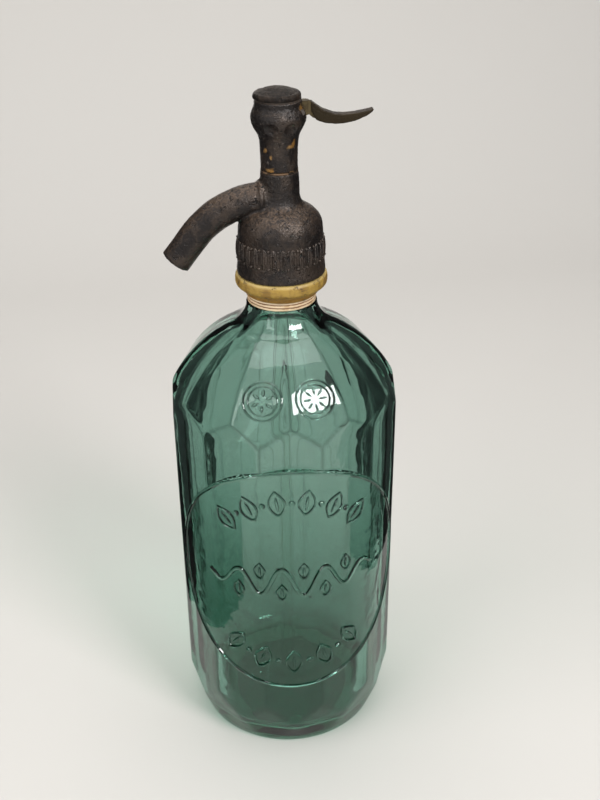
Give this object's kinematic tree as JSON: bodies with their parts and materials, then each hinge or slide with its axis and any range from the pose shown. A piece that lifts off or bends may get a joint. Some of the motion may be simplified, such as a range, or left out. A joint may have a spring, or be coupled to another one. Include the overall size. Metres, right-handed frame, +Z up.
{
  "type": "soda siphon",
  "caption": "Tall faceted green glass soda siphon with a dark cast head, a curved spout, a yellow collar and a side lever that opens its valve.",
  "frame": {"origin": "centre of the base, on the surface the bottle stands on", "axes": "+Z up along the bottle's axis, +X towards the lever, -X towards the spout"},
  "size_m": [0.1062, 0.1078, 0.3286],
  "materials": {
    "green_glass": "gloss",
    "clear_glass": "gloss",
    "aged_pewter": "worn",
    "dark_lever": "worn",
    "old_brass": "worn",
    "copper": "satin",
    "spring_steel": "satin",
    "yellow_collar": "worn",
    "cream_ring": "worn",
    "packing_leather": "matte",
    "black_rubber": "matte"
  },
  "bodies": {
    "siphon": {"glass_bottle": "green_glass", "dip_tube": "clear_glass", "neck_gasket": "black_rubber", "tube_washer": "black_rubber", "split_ring_front": "cream_ring", "split_ring_back": "cream_ring", "threaded_collar": "yellow_collar", "head_casting": "aged_pewter", "valve_seat": "old_brass", "packing_washer": "packing_leather", "gland_ring": "old_brass", "valve_spring": "spring_steel", "joint_washer": "copper", "valve_housing": "aged_pewter", "spring_bush": "old_brass", "cap_washer": "packing_leather", "screw_cap": "aged_pewter", "pivot_pin": "spring_steel"},
    "lever": {"lever_bar": "old_brass", "thumb_piece": "dark_lever"},
    "valve": {"valve_rod": "old_brass", "valve_washer": "black_rubber", "washer_screw": "old_brass"}
  },
  "joints": [
    {"name": "lever_press", "type": "hinge", "parent": "siphon", "child": "lever", "pos_m": [0.0092, 0, 0.3185], "axis": [0, 1, 0], "range_deg": [0, 16], "stiffness_Nm_per_rad": 0.9, "springref_deg": -20.05},
    {"name": "valve_lift", "type": "slide", "parent": "siphon", "child": "valve", "axis": [0, 0, 1], "range_m": [0, 0.00256], "deforming": ["valve_spring"]}
  ],
  "couplings": [
    {"joint": "lever_press", "follows": "valve_lift", "rad_per_m": 108.7}
  ]
}
